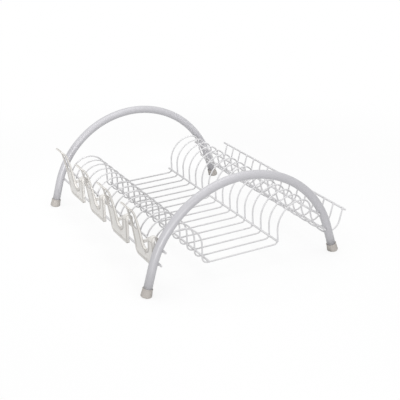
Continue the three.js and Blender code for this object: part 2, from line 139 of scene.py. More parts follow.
# Fineness of the meshes: lengths of a step, and counts
STEP_LENGTH = 0.0018
ARCH_STEP_LENGTH = 0.004
TONGUE_STEP_LENGTH = 0.006
BORE_STEP_LENGTH = 0.0006
CORNER_STEPS = 7
HOOK_STEPS = 8
CAP_EDGE_STEPS = 4
CAP_RIM_STEPS = 3
TUBE_SIDES = 40
WIRE_SIDES = 16
DOME_STEPS = 4
CAP_SIDES = 48
BEAD_SIDES = 20
BEAD_RINGS = 6
MOULD_VOXEL = 0.00045
MOULD_SMOOTHING = 4
MOULD_SMOOTHING_SHARE = 0.5
MOULD_KEPT_SHARE = 0.3

# Finishes: two tones that drift into each other, gloss, and the orange peel over them
TUBE_COAT = {
    "light": (0.545, 0.54, 0.565), "dark": (0.52, 0.515, 0.54), "roughness": 0.36,
    "tone_scale": 20, "grain_scale": 900, "grain_height": 0.000008,
}
WIRE_COAT = {
    "light": (0.745, 0.74, 0.75), "dark": (0.69, 0.685, 0.695), "roughness": 0.6,
    "tone_scale": 90, "grain_scale": 1200, "grain_height": 0.00001,
}
HOLDER_PLASTIC = {
    "light": (0.83, 0.81, 0.78), "dark": (0.78, 0.76, 0.73), "roughness": 0.5,
    "tone_scale": 40, "grain_scale": 2200, "grain_height": 0.00001,
}
CAP_PLASTIC = {
    "light": (0.64, 0.605, 0.57), "dark": (0.59, 0.555, 0.52), "roughness": 0.55,
    "tone_scale": 60, "grain_scale": 1800, "grain_height": 0.00001,
}
TUBE_GLOSS = 0.35
TUBE_GLOSS_ROUGHNESS = 0.2
WIRE_SPECULAR = 0.25
# Painted light: the holder's thin panel is made lighter, as if light came through the plastic
HOLDER_PANEL_PAINTED_LIGHT = (0.93, 0.91, 0.88)
# Painted shade on the edges and in the inner corners of the holders
HOLDER_EDGE_PAINTED_SHADE = (0.48, 0.46, 0.435)
# Painted shade on the edges and in the inner corners of the foot caps
CAP_EDGE_PAINTED_SHADE = (0.50, 0.47, 0.44)
TONE_DETAIL = 4
TONE_SPAN = (0.3, 0.7)
GRAIN_DETAIL = 3
ROUGHNESS_SHARES = (0.85, 1.2)
# Name of the mark for the painted light of the holder's panel
PANEL_PAINTED_LIGHT = "panel_painted_light"
# Name of the mark for where the painted edge shade goes, its distance from the clips, and the
# pointiness at which the painted shade starts and is full
EDGE_SHADE_ZONE = "edge_shade_zone"
CLIP_ZONE = 0.0045
FLAT_POINTINESS = 0.5
EDGE_START = 0.003
EDGE_FULL = 0.018

# Camera of the photograph, fitted to the arches, rails and wires: angles in radians
IMAGE_SIZE = 400
FOCAL_PIXELS = 907.9
SENSOR_WIDTH = 36
CAMERA_YAW = 0.461924
CAMERA_PITCH = 0.375479
CAMERA_ROLL = -0.025957
CAMERA_FROM_ARCH = Vector((-0.72959, -1.53845, 0.72751))

# Floor and light: at a level of 1 a white surface renders white
FLOOR_REACH = 6
FLOOR_BOUNCE = (0.43, 0.43, 0.43)
SHADOW_DEPTH = 0.2
SHADOW_FULL_REACH = 0.4
SHADOW_END_REACH = 1.1
WHITE = (1, 1, 1)
SKY_LEVEL = 0.66
KEY_PLACE = (-0.1, 0.0, 1.15)
KEY_TARGET = (-0.1, 0.0, 0)
KEY_SIZE = (1.0, 1.0)
KEY_POWER = 5.0
STRIP_PLACE = (-0.24, -1.35, 0.28)
STRIP_TARGET = (-0.14, -0.24, 0.12)
STRIP_SIZE = (0.16, 0.6)
STRIP_POWER = 1.6
SPOT_SPREAD = math.radians(18)
SPOT_SOFTNESS = 0.12
FAR_LEFT_SPOT = (-0.45, -0.35, 0.25)
FAR_LEFT_TARGET = (-0.19, 0.235, 0.06)
FAR_LEFT_LEVEL = 0.4
FAR_RIGHT_SPOT = (0.30, -0.25, 0.50)
FAR_RIGHT_TARGET = (0.17, 0.235, 0.06)
FAR_RIGHT_LEVEL = 0.46
FILL_LEVEL = 0.38
FILL_DIRECTION = (-0.5, -0.9, 0.1)
FILL_SPREAD = math.radians(20)


# Paths in the plane of a wire: knots of x, z and heading

def polar(centre, radius, angle):
    return centre[0] + radius * math.cos(angle), centre[1] + radius * math.sin(angle)


def arc(centre, radius, start, end, step=STEP_LENGTH):
    count = max(2, math.ceil(abs(end - start) * radius / step))
    turn = math.copysign(QUARTER, end - start)
    knots = []
    for i in range(count + 1):
        angle = start + (end - start) * i / count
        knots.append((*polar(centre, radius, angle), angle + turn))
    return knots


def corner_arc(centre, radius, start, end):
    return arc(centre, radius, start, end, radius / CORNER_STEPS)


def straight_on(knot, length):
    return *polar(knot, length, knot[2]), knot[2]


def angle_from(centre, target):
    return math.atan2(target[1] - centre[1], target[0] - centre[0])


def pairs(knots):
    """The knots without their headings, as the points of an outline."""
    return [(knot[0], knot[1]) for knot in knots]


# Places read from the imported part

def box_middle(node):
    low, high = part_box(node)
    return (low + high) / 2


def rail_place(node):
    middle = box_middle(node)
    return middle.x, middle.z


def nodes_named(start="", end=""):
    return sorted(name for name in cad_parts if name.startswith(start) and name.endswith(end))


WIRE_NODES = nodes_named(start="profile_wire_")
RAIL_NODES = nodes_named(end="_rail")
HOLDER_NODES = nodes_named(start="glass_holder_")
UPPER_LEFT = rail_place("upper_left_rail")
LOWER_LEFT = rail_place("lower_left_rail")
UPPER_RIGHT = rail_place("upper_right_rail")
LOWER_RIGHT = rail_place("lower_right_rail")
ARCH_MIDDLE_X = box_middle("arch_near").x
LEG_HALF_ANGLE = QUARTER - LEG_SPLAY
ARCH_RADIUS = (ARCH_SPAN / 2 - LEG_LENGTH * math.cos(LEG_HALF_ANGLE)) / math.sin(LEG_HALF_ANGLE)
ARCH_CENTRE = (
    ARCH_MIDDLE_X,
    LEG_LENGTH * math.sin(LEG_HALF_ANGLE) - ARCH_RADIUS * math.cos(LEG_HALF_ANGLE),
)


# Meshes

def mesh_object(name, vertices, faces, smooth=True):
    mesh = bpy.data.meshes.new(name)
    mesh.from_pydata([tuple(v) for v in vertices], [], faces)
    mesh.validate()
    shape = bmesh.new()
    shape.from_mesh(mesh)
    bmesh.ops.recalc_face_normals(shape, faces=shape.faces)
    shape.to_mesh(mesh)
    shape.free()
    for polygon in mesh.polygons:
        polygon.use_smooth = smooth
    made = bpy.data.objects.new(name, mesh)
    bpy.context.scene.collection.objects.link(made)
    return made


def settle(piece, body, slot, finish, *nodes):
    """Gives a piece its finish and its body, and hides the nodes that it stands for; the slot is not
    used.
    """
    piece.data.materials.clear()
    piece.data.materials.append(finish)
    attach(piece, body)
    if nodes:
        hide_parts(*nodes)


def ring(centre, side, other, radius, sides):
    corners = []
    for i in range(sides):
        angle = 2 * math.pi * i / sides
        corners.append(centre + radius * (math.cos(angle) * side + math.sin(angle) * other))
    return corners


def skin(rings):
    """Vertices and faces of a closed skin over rings of equal count, with flat ends."""
    count = len(rings[0])
    vertices = [corner for one in rings for corner in one]
    faces = []
    for row in range(len(rings) - 1):
        for i in range(count):
            j = (i + 1) % count
            here = row * count
            faces.append((here + i, here + j, here + count + j, here + count + i))
    faces.append(tuple(range(count)))
    faces.append(tuple(reversed(range(len(vertices) - count, len(vertices)))))
    return vertices, faces


def bar(name, stations, radius, sides, dome=DOME_SHARE):
    """A round bar through stations of place, direction and side, with its ends domed."""
    rings = []
    if dome:
        rings += dome_rings(stations[0], -radius * dome, radius, sides)
    for place, direction, side in stations:
        rings.append(ring(place, side, direction.cross(side), radius, sides))
    if dome:
        rings += reversed(dome_rings(stations[-1], radius * dome, radius, sides))
    return mesh_object(name, *skin(rings))


def dome_rings(station, depth, radius, sides):
    place, direction, side = station
    rings = []
    for i in range(DOME_STEPS):
        angle = QUARTER * (i + 0.5) / DOME_STEPS
        centre = place + direction * depth * math.cos(angle)
        rings.append(ring(centre, side, direction.cross(side), radius * math.sin(angle), sides))
    return rings


def stations_in_plane(knots, y):
    return [
        (Vector((x, y, z)), Vector((math.cos(heading), 0, math.sin(heading))), ALONG_Y)
        for x, z, heading in knots
    ]


def joined(name, parts):
    vertices, faces = [], []
    for part_vertices, part_faces in parts:
        start = len(vertices)
        vertices += part_vertices
        faces += [tuple(start + i for i in face) for face in part_faces]
    return mesh_object(name, vertices, faces)


# Arches and foot caps

def arch_knots():
    bend = arc(
        ARCH_CENTRE, ARCH_RADIUS, QUARTER + LEG_HALF_ANGLE, QUARTER - LEG_HALF_ANGLE,
        ARCH_STEP_LENGTH,
    )
    tube_length = LEG_LENGTH - CAP_FLOOR - CAP_CLEARANCE
    return [straight_on(bend[0], -tube_length), *bend, straight_on(bend[-1], tube_length)]


def add_arches(finish):
    for node in ("arch_near", "arch_far"):
        stations = stations_in_plane(arch_knots(), box_middle(node).y)
        tube = bar(node + "_tube", stations, TUBE_RADIUS, TUBE_SIDES, dome=0)
        settle(tube, "rack", "tube_coat", finish, node)


def cap_profile():
    """Radius and height from the middle of the sole round the rim and down into the bore."""
    edge = arc(
        (CAP_SOLE_RADIUS - CAP_EDGE_RADIUS, CAP_EDGE_RADIUS - CAP_SOLE_DEPTH),
        CAP_EDGE_RADIUS, -QUARTER, 0, CAP_EDGE_RADIUS / CAP_EDGE_STEPS,
    )
    rim_low = CAP_HEIGHT - CAP_RIM_HEIGHT
    round_middle = CAP_TOP_RADIUS + CAP_RIM_STEP - CAP_RIM_ROUND
    step = CAP_RIM_ROUND / CAP_RIM_STEPS
    lower_round = arc((round_middle, rim_low + CAP_RIM_ROUND), CAP_RIM_ROUND, -QUARTER, 0, step)
    upper_round = arc((round_middle, CAP_HEIGHT - CAP_RIM_ROUND), CAP_RIM_ROUND, 0, QUARTER, step)
    return [
        (0, -CAP_SOLE_DEPTH),
        *pairs(edge),
        (CAP_TOP_RADIUS, rim_low - CAP_RIM_STEP),
        (CAP_TOP_RADIUS, rim_low),
        *pairs(lower_round),
        *pairs(upper_round),
        (CAP_BORE_RADIUS, CAP_HEIGHT),
        (CAP_BORE_RADIUS, CAP_HEIGHT - CAP_RIM_HEIGHT),
    ]


def add_cap(end, side, sign, finish):
    node = f"foot_cap_{end}_{side}"
    y = box_middle("arch_" + end).y
    foot_point = Vector((ARCH_MIDDLE_X + sign * ARCH_SPAN / 2, y, 0))
    axis = Vector((-sign * math.sin(LEG_SPLAY), 0, math.cos(LEG_SPLAY)))
    side_axis = ALONG_Y.cross(axis)
    rings = []
    for radius, height in cap_profile():
        centre = foot_point + height * axis
        rings.append(ring(centre, side_axis, ALONG_Y, max(radius, LEAST_RING_RADIUS), CAP_SIDES))
    cap = mesh_object(node + "_moulding", *skin(rings))
    cut_on_ground(cap)
    settle(cap, "rack", "cap_plastic", finish, node)


def add_caps(finish):
    for end in ("near", "far"):
        for side, sign in (("left", -1), ("right", 1)):
            add_cap(end, side, sign, finish)


def cut_on_ground(made):
    """Cuts off what reaches below the ground and closes the cut."""
    shape = bmesh.new()
    shape.from_mesh(made.data)
    whole = shape.verts[:] + shape.edges[:] + shape.faces[:]
    cut_line = bmesh.ops.bisect_plane(
        shape, geom=whole, plane_co=Vector(), plane_no=ALONG_Z, clear_inner=True,
    )
    rim = [piece for piece in cut_line["geom_cut"] if isinstance(piece, bmesh.types.BMEdge)]
    bmesh.ops.edgeloop_fill(shape, edges=rim)
    bmesh.ops.recalc_face_normals(shape, faces=shape.faces)
    shape.to_mesh(made.data)
    shape.free()


# Wires, rails and weld beads

def tray_arc_centre():
    reach = TRAY_ARC_RADIUS - WIRE_OFFSET
    between = (LOWER_RIGHT[0] - UPPER_RIGHT[0], LOWER_RIGHT[1] - UPPER_RIGHT[1])
    distance = math.hypot(*between)
    height = math.sqrt(reach ** 2 - (distance / 2) ** 2)
    return (
        UPPER_RIGHT[0] + between[0] / 2 - height * between[1] / distance,
        UPPER_RIGHT[1] + between[1] / 2 + height * between[0] / distance,
    )


def profile_knots():
    """From the wire's end under the upper-left rail over both humps to the rim of the tray."""
    tray = tray_arc_centre()
    top = tray[1] + SHOULDER_RADIUS
    shoulder_x = tray[0] - TRAY_ARC_RADIUS - SHOULDER_RADIUS
    right_hump = (shoulder_x, top - RIGHT_HUMP_RADIUS)
    wall_top = polar(right_hump, RIGHT_HUMP_RADIUS, math.pi + INNER_WALL_LEAN)
    wall_foot = polar(wall_top, -INNER_WALL_HEIGHT, QUARTER + INNER_WALL_LEAN)
    right_corner = polar(wall_foot, -RIGHT_CORNER_RADIUS, INNER_WALL_LEAN)
    left_top = top - LEFT_HUMP_DROP
    left_hump_z = left_top - LEFT_HUMP_RADIUS
    rail_reach = LEFT_HUMP_RADIUS + WIRE_OFFSET
    left_hump = (
        UPPER_LEFT[0] + math.sqrt(rail_reach ** 2 - (UPPER_LEFT[1] - left_hump_z) ** 2),
        left_hump_z,
    )
    left_inner = (left_hump[0], left_top - LEFT_HUMP_INNER_RADIUS)
    left_corner = (
        left_inner[0] + LEFT_HUMP_INNER_RADIUS + LEFT_CORNER_RADIUS,
        right_corner[1] - RIGHT_CORNER_RADIUS - FLOOR_RISE + LEFT_CORNER_RADIUS,
    )
    floor_run = math.dist(left_corner, right_corner)
    slope = angle_from(left_corner, right_corner)
    slope += math.asin((LEFT_CORNER_RADIUS - RIGHT_CORNER_RADIUS) / floor_run)
    wall_heading = 4 * QUARTER + INNER_WALL_LEAN
    start = angle_from(left_hump, UPPER_LEFT) + WIRE_END_DROP / LEFT_HUMP_RADIUS
    sweep_end = math.pi + TRAY_ARC_SWEEP
    bottom = polar(tray, TRAY_ARC_RADIUS - TRAY_CORNER_RADIUS, sweep_end)
    knots = [
        *arc(left_hump, LEFT_HUMP_RADIUS, start, QUARTER),
        *arc(left_inner, LEFT_HUMP_INNER_RADIUS, QUARTER, 0)[1:],
        *corner_arc(left_corner, LEFT_CORNER_RADIUS, math.pi, 3 * QUARTER + slope),
        *corner_arc(right_corner, RIGHT_CORNER_RADIUS, 3 * QUARTER + slope, wall_heading),
        *arc(right_hump, RIGHT_HUMP_RADIUS, wall_heading - 2 * QUARTER, QUARTER),
        *arc((shoulder_x, tray[1]), SHOULDER_RADIUS, QUARTER, 0)[1:],
        *arc(tray, TRAY_ARC_RADIUS, math.pi, sweep_end)[1:],
        *arc(bottom, TRAY_CORNER_RADIUS, sweep_end, 4 * QUARTER - TRAY_WALL_LEAN)[1:],
    ]
    knots.append(straight_on(knots[-1], TRAY_WALL_HEIGHT))
    return knots


def add_wires(finish, knots):
    for node in WIRE_NODES:
        stations = stations_in_plane(knots, box_middle(node).y)
        wire = bar(node + "_coated", stations, WIRE_RADIUS, WIRE_SIDES)
        settle(wire, "rack", "wire_coat", finish, node)


def add_rails(finish):
    for node in RAIL_NODES:
        low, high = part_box(node)
        x, z = rail_place(node)
        stations = [(Vector((x, y, z)), ALONG_Y, ALONG_X) for y in (low.y, high.y)]
        rail = bar(node + "_coated", stations, RAIL_RADIUS, WIRE_SIDES)
        settle(rail, "rack", "wire_coat", finish, node)


def nearest_on_path(knots, place):
    """Distance from a place to a path, the nearest place on it, and its direction there."""
    best = None
    for (x, z, _), (next_x, next_z, _) in zip(knots, knots[1:]):
        run = Vector((next_x - x, next_z - z))
        if not run.length:
            continue
        share = (Vector(place) - Vector((x, z))).dot(run) / run.length_squared
        share = min(max(share, 0), 1)
        spot = Vector((x, z)) + run * share
        distance = (spot - Vector(place)).length
        if best is None or distance < best[0]:
            best = (distance, spot, run.normalized())
    return best


def bead_reach(own, other):
    """How far a bead runs along a bar of radius own, and how far round it."""
    return BEAD_SPREAD_SHARE * other, BEAD_SIDE_SHARE * min(own, other * BEAD_SPREAD_SHARE)


def skin_height(radius, offset):
    """Height of a bar's skin over its axis at an offset, less the depth that a bead sinks in."""
    return math.sqrt(max(radius ** 2 - offset ** 2, 0)) - BEAD_SINK


def bead(contact, axis_a, radius_a, axis_b, radius_b, lift):
    """The skin of a weld bead between bar a and bar b, which crosses it with its axis at lift."""
    normal = axis_a.cross(axis_b)
    if normal.dot(lift) < 0:
        normal = -normal
    gap = lift.length
    along_a, round_a = bead_reach(radius_a, radius_b)
    along_b, round_b = bead_reach(radius_b, radius_a)
    waist = contact + gap * radius_a / (radius_a + radius_b) * normal
    rings = []
    for row in range(BEAD_RINGS + 1):
        share = row / BEAD_RINGS
        corners = []
        for i in range(BEAD_SIDES):
            angle = 2 * math.pi * i / BEAD_SIDES
            a, b = math.cos(angle), math.sin(angle)
            low = contact + a * along_a * axis_a + b * round_a * axis_b
            low = low + skin_height(radius_a, round_a * b) * normal
            high = contact + a * round_b * axis_a + b * along_b * axis_b
            high = high + (gap - skin_height(radius_b, round_b * a)) * normal
            middle = (low + high) / 2
            control = middle + (waist - middle) * BEAD_WAIST_SHARE
            corners.append(
                (1 - share) ** 2 * low + 2 * share * (1 - share) * control + share ** 2 * high
            )
        rings.append(corners)
    return skin(rings)


def wire_beads(place, spot, run):
    """The beads between one rail and every profile wire."""
    wire_axis = Vector((run.x, 0, run.y))
    parts = []
    for wire in WIRE_NODES:
        rail_point = Vector((place[0], box_middle(wire).y, place[1]))
        lift = Vector((spot.x, rail_point.y, spot.y)) - rail_point
        parts.append(bead(rail_point, ALONG_Y, RAIL_RADIUS, wire_axis, WIRE_RADIUS, lift))
    return parts


def leg_beads(place, spot, run):
    """The beads between one rail and the legs of both arches."""
    leg_axis = Vector((run.x, 0, run.y))
    parts = []
    for arch in ("arch_near", "arch_far"):
        leg_point = Vector((spot.x, box_middle(arch).y, spot.y))
        lift = Vector((place[0], leg_point.y, place[1])) - leg_point
        parts.append(bead(leg_point, leg_axis, TUBE_RADIUS, ALONG_Y, RAIL_RADIUS, lift))
    return parts


def add_weld_beads(finish, knots):
    for node in RAIL_NODES:
        place = rail_place(node)
        parts = []
        distance, spot, run = nearest_on_path(knots, place)
        if distance < WIRE_WELD_REACH:
            parts += wire_beads(place, spot, run)
        distance, spot, run = nearest_on_path(arch_knots(), place)
        if distance < LEG_WELD_REACH:
            parts += leg_beads(place, spot, run)
        beads = joined(node + "_weld_beads", parts)
        settle(beads, "rack", "wire_coat", finish)


# Solids of a glass holder

def prism(outline, axis, start, end):
    """A closed prism from an outline: of x and z along Y, or of y and z along X."""
    vertices = []
    for depth in (start, end):
        for first, second in outline:
            vertices.append((first, depth, second) if axis == "Y" else (depth, first, second))
    count = len(outline)
    faces = [tuple(range(count)), tuple(reversed(range(count, 2 * count)))]
    for i in range(count):
        j = (i + 1) % count
        faces.append((i, j, count + j, count + i))
    return mesh_object("cutter", vertices, faces, smooth=False)


def cut(base, tool, operation):
    """Joins or cuts a solid by another, which is used up."""
    change = base.modifiers.new("cut", "BOOLEAN")
    change.operation = operation
    change.solver = "EXACT"
    change.object = tool
    apply_modifiers(base)
    bpy.data.objects.remove(tool)
    return base


def apply_modifiers(made):
    graph = bpy.context.evaluated_depsgraph_get()
    graph.update()
    mesh = bpy.data.meshes.new_from_object(made.evaluated_get(graph), depsgraph=graph)
    made.modifiers.clear()
    made.data = mesh


def band(knots, left, right):
    """The outline of a strip along a path, from left of it to right of it."""
    left_edge = [polar(knot, left, knot[2] + QUARTER) for knot in knots]
    right_edge = [polar(knot, right, knot[2] - QUARTER) for knot in knots]
    return left_edge + right_edge[::-1]


HOLDER_BOTTOM = LOWER_LEFT[1] - SKIRT_DEPTH
SLOT_FLOOR = LOWER_LEFT[1] + SLOT_FLOOR_RISE
PLATE_X = LOWER_LEFT[0] - PLATE_STANDOFF
SLOT_END = SHORT_ARM_WIDTH + SLOT_WIDTH
SLOT_MIDDLE = (SHORT_ARM_WIDTH + SLOT_END) / 2
HOOK_RADIUS = (UPPER_LEFT[0] - PLATE_X) / 2
HOOK_CENTRE = (PLATE_X + HOOK_RADIUS, UPPER_LEFT[1] + HOOK_RISE)
TONGUE_BOW_END = math.asin(math.sin(TONGUE_FOOT_LEAN) + TONGUE_BOW_HEIGHT / TONGUE_BOW_RADIUS)


def tongue_knots():
    """Up the middle of the tall sheet: its bow, its flare and its lip."""
    centre = polar((PLATE_X, HOLDER_BOTTOM), TONGUE_BOW_RADIUS, math.pi + TONGUE_FOOT_LEAN)
    bow = arc(centre, TONGUE_BOW_RADIUS, TONGUE_FOOT_LEAN, TONGUE_BOW_END, TONGUE_STEP_LENGTH)
    flare_centre = polar(bow[-1], FLARE_RADIUS, TONGUE_BOW_END + math.pi)
    flare = arc(flare_centre, FLARE_RADIUS, TONGUE_BOW_END, TONGUE_BOW_END + FLARE_SWEEP)
    return [*bow, *flare[1:], straight_on(flare[-1], LIP_LENGTH)]


def hook_knots():
    """Up the short arm and over its bend down to the upper-left rail."""
    bend = arc(HOOK_CENTRE, HOOK_RADIUS, math.pi, 0, HOOK_RADIUS / HOOK_STEPS)
    foot_knot = (PLATE_X, HOLDER_BOTTOM, QUARTER)
    return [foot_knot, *bend, straight_on(bend[-1], HOOK_RISE - RAIL_RADIUS - CLIP_CLEARANCE)]


TONGUE = tongue_knots()
HOOK = hook_knots()
HOLDER_TOP = max(knot[1] for knot in TONGUE) + SHEET / 2
OUTERMOST = min(knot[0] for knot in TONGUE) - OVERRUN
INNERMOST = UPPER_LEFT[0] + OVERRUN


def tongue_rib_band():
    """The tongue's ribs: full depth up to the slot's floor, shallow at the flare."""
    taper_height = HOLDER_BOTTOM + TONGUE_BOW_HEIGHT - SLOT_FLOOR
    inner = []
    for knot in TONGUE:
        climbed = min(max((knot[1] - SLOT_FLOOR) / taper_height, 0), 1)
        depth = RIB_DEPTH + (RIM_DEPTH - RIB_DEPTH) * climbed
        inner.append(polar(knot, depth, knot[2] - QUARTER))
    return pairs(TONGUE) + inner[::-1]


def outline_arc(centre, radius, start, end):
    return pairs(corner_arc(centre, radius, start, end))


def holder_outline(inset, tongue_top):
    """The outline of the outer face in y and z, drawn in by an inset."""
    near_corner = max(NEAR_SKIRT_CORNER - inset, LEAST_CORNER)
    far_corner = max(FAR_SKIRT_CORNER - inset, LEAST_CORNER)
    near_tip = max(NEAR_TIP_CORNER - inset, LEAST_CORNER)
    far_tip = max(FAR_TIP_CORNER - inset, LEAST_CORNER)
    crown = SHORT_ARM_WIDTH / 2 - inset
    crown_z = HOOK_CENTRE[1] + HOOK_RADIUS + SHEET / 2 - SHORT_ARM_WIDTH / 2
    far = HOLDER_WIDTH - inset
    bottom = HOLDER_BOTTOM + inset
    top = tongue_top - inset
    slot_centre = (SLOT_MIDDLE, SLOT_FLOOR + SLOT_WIDTH / 2)
    return [
        *outline_arc(
            (inset + near_corner, bottom + near_corner), near_corner, 2 * QUARTER, 3 * QUARTER,
        ),
        *outline_arc((far - far_corner, bottom + far_corner), far_corner, 3 * QUARTER, 4 * QUARTER),
        *outline_arc((far - far_tip, top - far_tip), far_tip, 0, QUARTER),
        *outline_arc(
            (SLOT_END + inset + near_tip, top - near_tip), near_tip, QUARTER, 2 * QUARTER,
        ),
        *outline_arc(slot_centre, SLOT_WIDTH / 2 + inset, 0, -2 * QUARTER),
        *outline_arc((SHORT_ARM_WIDTH / 2, crown_z), crown, 0, 2 * QUARTER),
    ]


def window_outline():
    radius = WINDOW_CORNER
    middle = (SLOT_END + HOLDER_WIDTH) / 2
    left = middle - WINDOW_WIDTH / 2 + radius
    right = middle + WINDOW_WIDTH / 2 - radius
    low = HOLDER_BOTTOM + WINDOW_START + radius
    high = HOLDER_BOTTOM + WINDOW_START + WINDOW_HEIGHT - radius
    return [
        *outline_arc((left, low), radius, 2 * QUARTER, 3 * QUARTER),
        *outline_arc((right, low), radius, 3 * QUARTER, 4 * QUARTER),
        *outline_arc((right, high), radius, 0, QUARTER),
        *outline_arc((left, high), radius, QUARTER, 2 * QUARTER),
    ]


def panel_outline():
    """The thin panel inside the raised border of the outer face."""
    return holder_outline(PANEL_INSET, HOLDER_BOTTOM + PANEL_TOP)


def tongue_x_at(height):
    lean = math.asin(math.sin(TONGUE_FOOT_LEAN) + (height - HOLDER_BOTTOM) / TONGUE_BOW_RADIUS)
    return PLATE_X - TONGUE_BOW_RADIUS * (math.cos(TONGUE_FOOT_LEAN) - math.cos(lean))


def clip_ring(rail, opening, start, end):
    """An open ring round a rail, with its mouth towards the angle opening."""
    bore = RAIL_RADIUS + CLIP_CLEARANCE
    outside = bore + CLIP_WALL
    outer_gap = math.acos(CLIP_REACH / outside)
    inner_gap = math.acos(CLIP_REACH / bore)
    full_turn = opening + 2 * math.pi
    outer = arc(rail, outside, opening + outer_gap, full_turn - outer_gap, BORE_STEP_LENGTH)
    inner = arc(rail, bore, full_turn - inner_gap, opening + inner_gap, BORE_STEP_LENGTH)
    return prism(pairs(outer) + pairs(inner), "Y", start, end)


def clip_web(rail, start, end):
    """The web that carries a clip on the back of the tongue."""
    near = tongue_x_at(rail[1])
    to = rail[0] - RAIL_RADIUS - CLIP_CLEARANCE - CLIP_WALL / 2
    low = rail[1] - CLIP_WEB_HEIGHT / 2
    high = rail[1] + CLIP_WEB_HEIGHT / 2
    return prism([(near, low), (to, low), (to, high), (near, high)], "Y", start, end)


def across(outline):
    """A prism of an outline right through the holder."""
    return prism(outline, "X", OUTERMOST, INNERMOST)


def sheets(short_band, tall_band):
    """The short arm's sheet up to its crown, joined to the tall sheet of the tongue."""
    short = prism(short_band, "Y", 0, SLOT_MIDDLE)
    tall = prism(tall_band, "Y", SLOT_MIDDLE - SHEET, HOLDER_WIDTH)
    low = HOLDER_BOTTOM - OVERRUN
    high = HOLDER_TOP + OVERRUN
    past_crown = prism([
        (HOOK_CENTRE[0], low), (INNERMOST, low), (INNERMOST, high), (HOOK_CENTRE[0], high),
    ], "Y", -OVERRUN, HOLDER_WIDTH)
    return cut(cut(short, past_crown, "DIFFERENCE"), tall, "UNION")


def holder_plate():
    """The sheet with its outline, its window and the recess of its panel."""
    plate = sheets(band(HOOK, SHEET / 2, SHEET / 2), band(TONGUE, SHEET / 2, SHEET / 2))
    plate = cut(plate, across(holder_outline(0, HOLDER_TOP)), "INTERSECT")
    plate = cut(plate, across(window_outline()), "DIFFERENCE")
    skin_depth = SHEET / 2 - PANEL_RECESS
    recess = sheets(band(HOOK, SHEET, -skin_depth), band(TONGUE, SHEET, -skin_depth))
    panel = cut(across(panel_outline()), recess, "INTERSECT")
    return cut(plate, panel, "DIFFERENCE")


def holder_ribs():
    """The ribs along the outline, with room for the lower-left rail."""
    outside = across(holder_outline(0, HOLDER_TOP))
    ribs = cut(outside, across(holder_outline(RIB, HOLDER_TOP)), "DIFFERENCE")
    ribs = cut(ribs, sheets(band(HOOK, 0, RIB_DEPTH), tongue_rib_band()), "INTERSECT")
    bore = arc(LOWER_LEFT, RAIL_RADIUS + CLIP_CLEARANCE, 0, 4 * QUARTER, BORE_STEP_LENGTH)
    rail_room = prism(pairs(bore)[1:], "Y", -OVERRUN, HOLDER_WIDTH + OVERRUN)
    return cut(ribs, rail_room, "DIFFERENCE")


def holder_clips():
    """The narrow strip over the hook, and the three clips with their webs."""
    opening = angle_from(UPPER_LEFT, nearest_on_path(profile_knots(), UPPER_LEFT)[1])
    hook_start = (SHORT_ARM_WIDTH - HOOK_WIDTH) / 2
    hook_end = hook_start + HOOK_WIDTH
    side_start = SLOT_END + SIDE_CLIP_INSET
    side_end = side_start + SIDE_CLIP_WIDTH
    base_start = SLOT_MIDDLE - BASE_CLIP_WIDTH / 2
    base_end = base_start + BASE_CLIP_WIDTH
    return [
        prism(band(HOOK[1:], SHEET / 2, SHEET / 2), "Y", hook_start, hook_end),
        clip_ring(UPPER_LEFT, opening, hook_start, hook_end),
        clip_ring(UPPER_LEFT, opening, side_start, side_end),
        clip_web(UPPER_LEFT, side_start, side_end),
        clip_ring(LOWER_LEFT, 0, base_start, base_end),
        clip_web(LOWER_LEFT, base_start, base_end),
    ]


# The glass holders' moulding

def moulding():
    """One mesh of the holder with moulded, rounded edges, its near edge at Y = 0."""
    shape = bmesh.new()
    for one in (holder_plate(), holder_ribs(), *holder_clips()):
        shape.from_mesh(one.data)
        bpy.data.objects.remove(one)
    merged = mesh_object("holder_moulding", [], [])
    shape.to_mesh(merged.data)
    shape.free()
    remesh = merged.modifiers.new("voxels", "REMESH")
    remesh.mode = "VOXEL"
    remesh.voxel_size = MOULD_VOXEL
    remesh.use_smooth_shade = True
    smooth = merged.modifiers.new("round", "SMOOTH")
    smooth.factor = MOULD_SMOOTHING_SHARE
    smooth.iterations = MOULD_SMOOTHING
    thin = merged.modifiers.new("thin", "DECIMATE")
    thin.ratio = MOULD_KEPT_SHARE
    apply_modifiers(merged)
    mesh = merged.data
    bpy.data.objects.remove(merged)
    mark_panel_painted_light(mesh)
    mark_edge_shade_zone(mesh)
    return mesh


def within(outline, first, second):
    """Whether a place lies inside a closed outline."""
    inside = False
    for (a, b), (c, d) in zip(outline, outline[1:] + outline[:1]):
        if (b > second) != (d > second) and first < a + (c - a) * (second - b) / (d - b):
            inside = not inside
    return inside


def mark_panel_painted_light(mesh):
    """Marks the thin wall of the panel, where painted light stands in for the light that comes
    through it.
    """
    outline = panel_outline()
    mark = mesh.attributes.new(PANEL_PAINTED_LIGHT, "FLOAT", "POINT")
    for i, vertex in enumerate(mesh.vertices):
        mark.data[i].value = float(within(outline, vertex.co.y, vertex.co.z))


def mark_edge_shade_zone(mesh):
    """Marks where the painted edge shade goes: the plate and its ribs, apart from the clips round
    the rails.
    """
    mark = mesh.attributes.new(EDGE_SHADE_ZONE, "FLOAT", "POINT")
    for i, vertex in enumerate(mesh.vertices):
        place = (vertex.co.x, vertex.co.z)
        nearest = min(math.dist(place, UPPER_LEFT), math.dist(place, LOWER_LEFT))
        mark.data[i].value = min(max((nearest - CLIP_ZONE) / CLIP_ZONE, 0), 1)


def add_holders(finish):
    mesh = moulding()
    for node in HOLDER_NODES:
        holder = bpy.data.objects.new(node + "_moulding", mesh)
        bpy.context.scene.collection.objects.link(holder)
        holder.location.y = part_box(node)[0].y
        body = node.replace("glass_holder", "holder")
        settle(holder, body, "holder_plastic", finish, node)


# Parts of materials

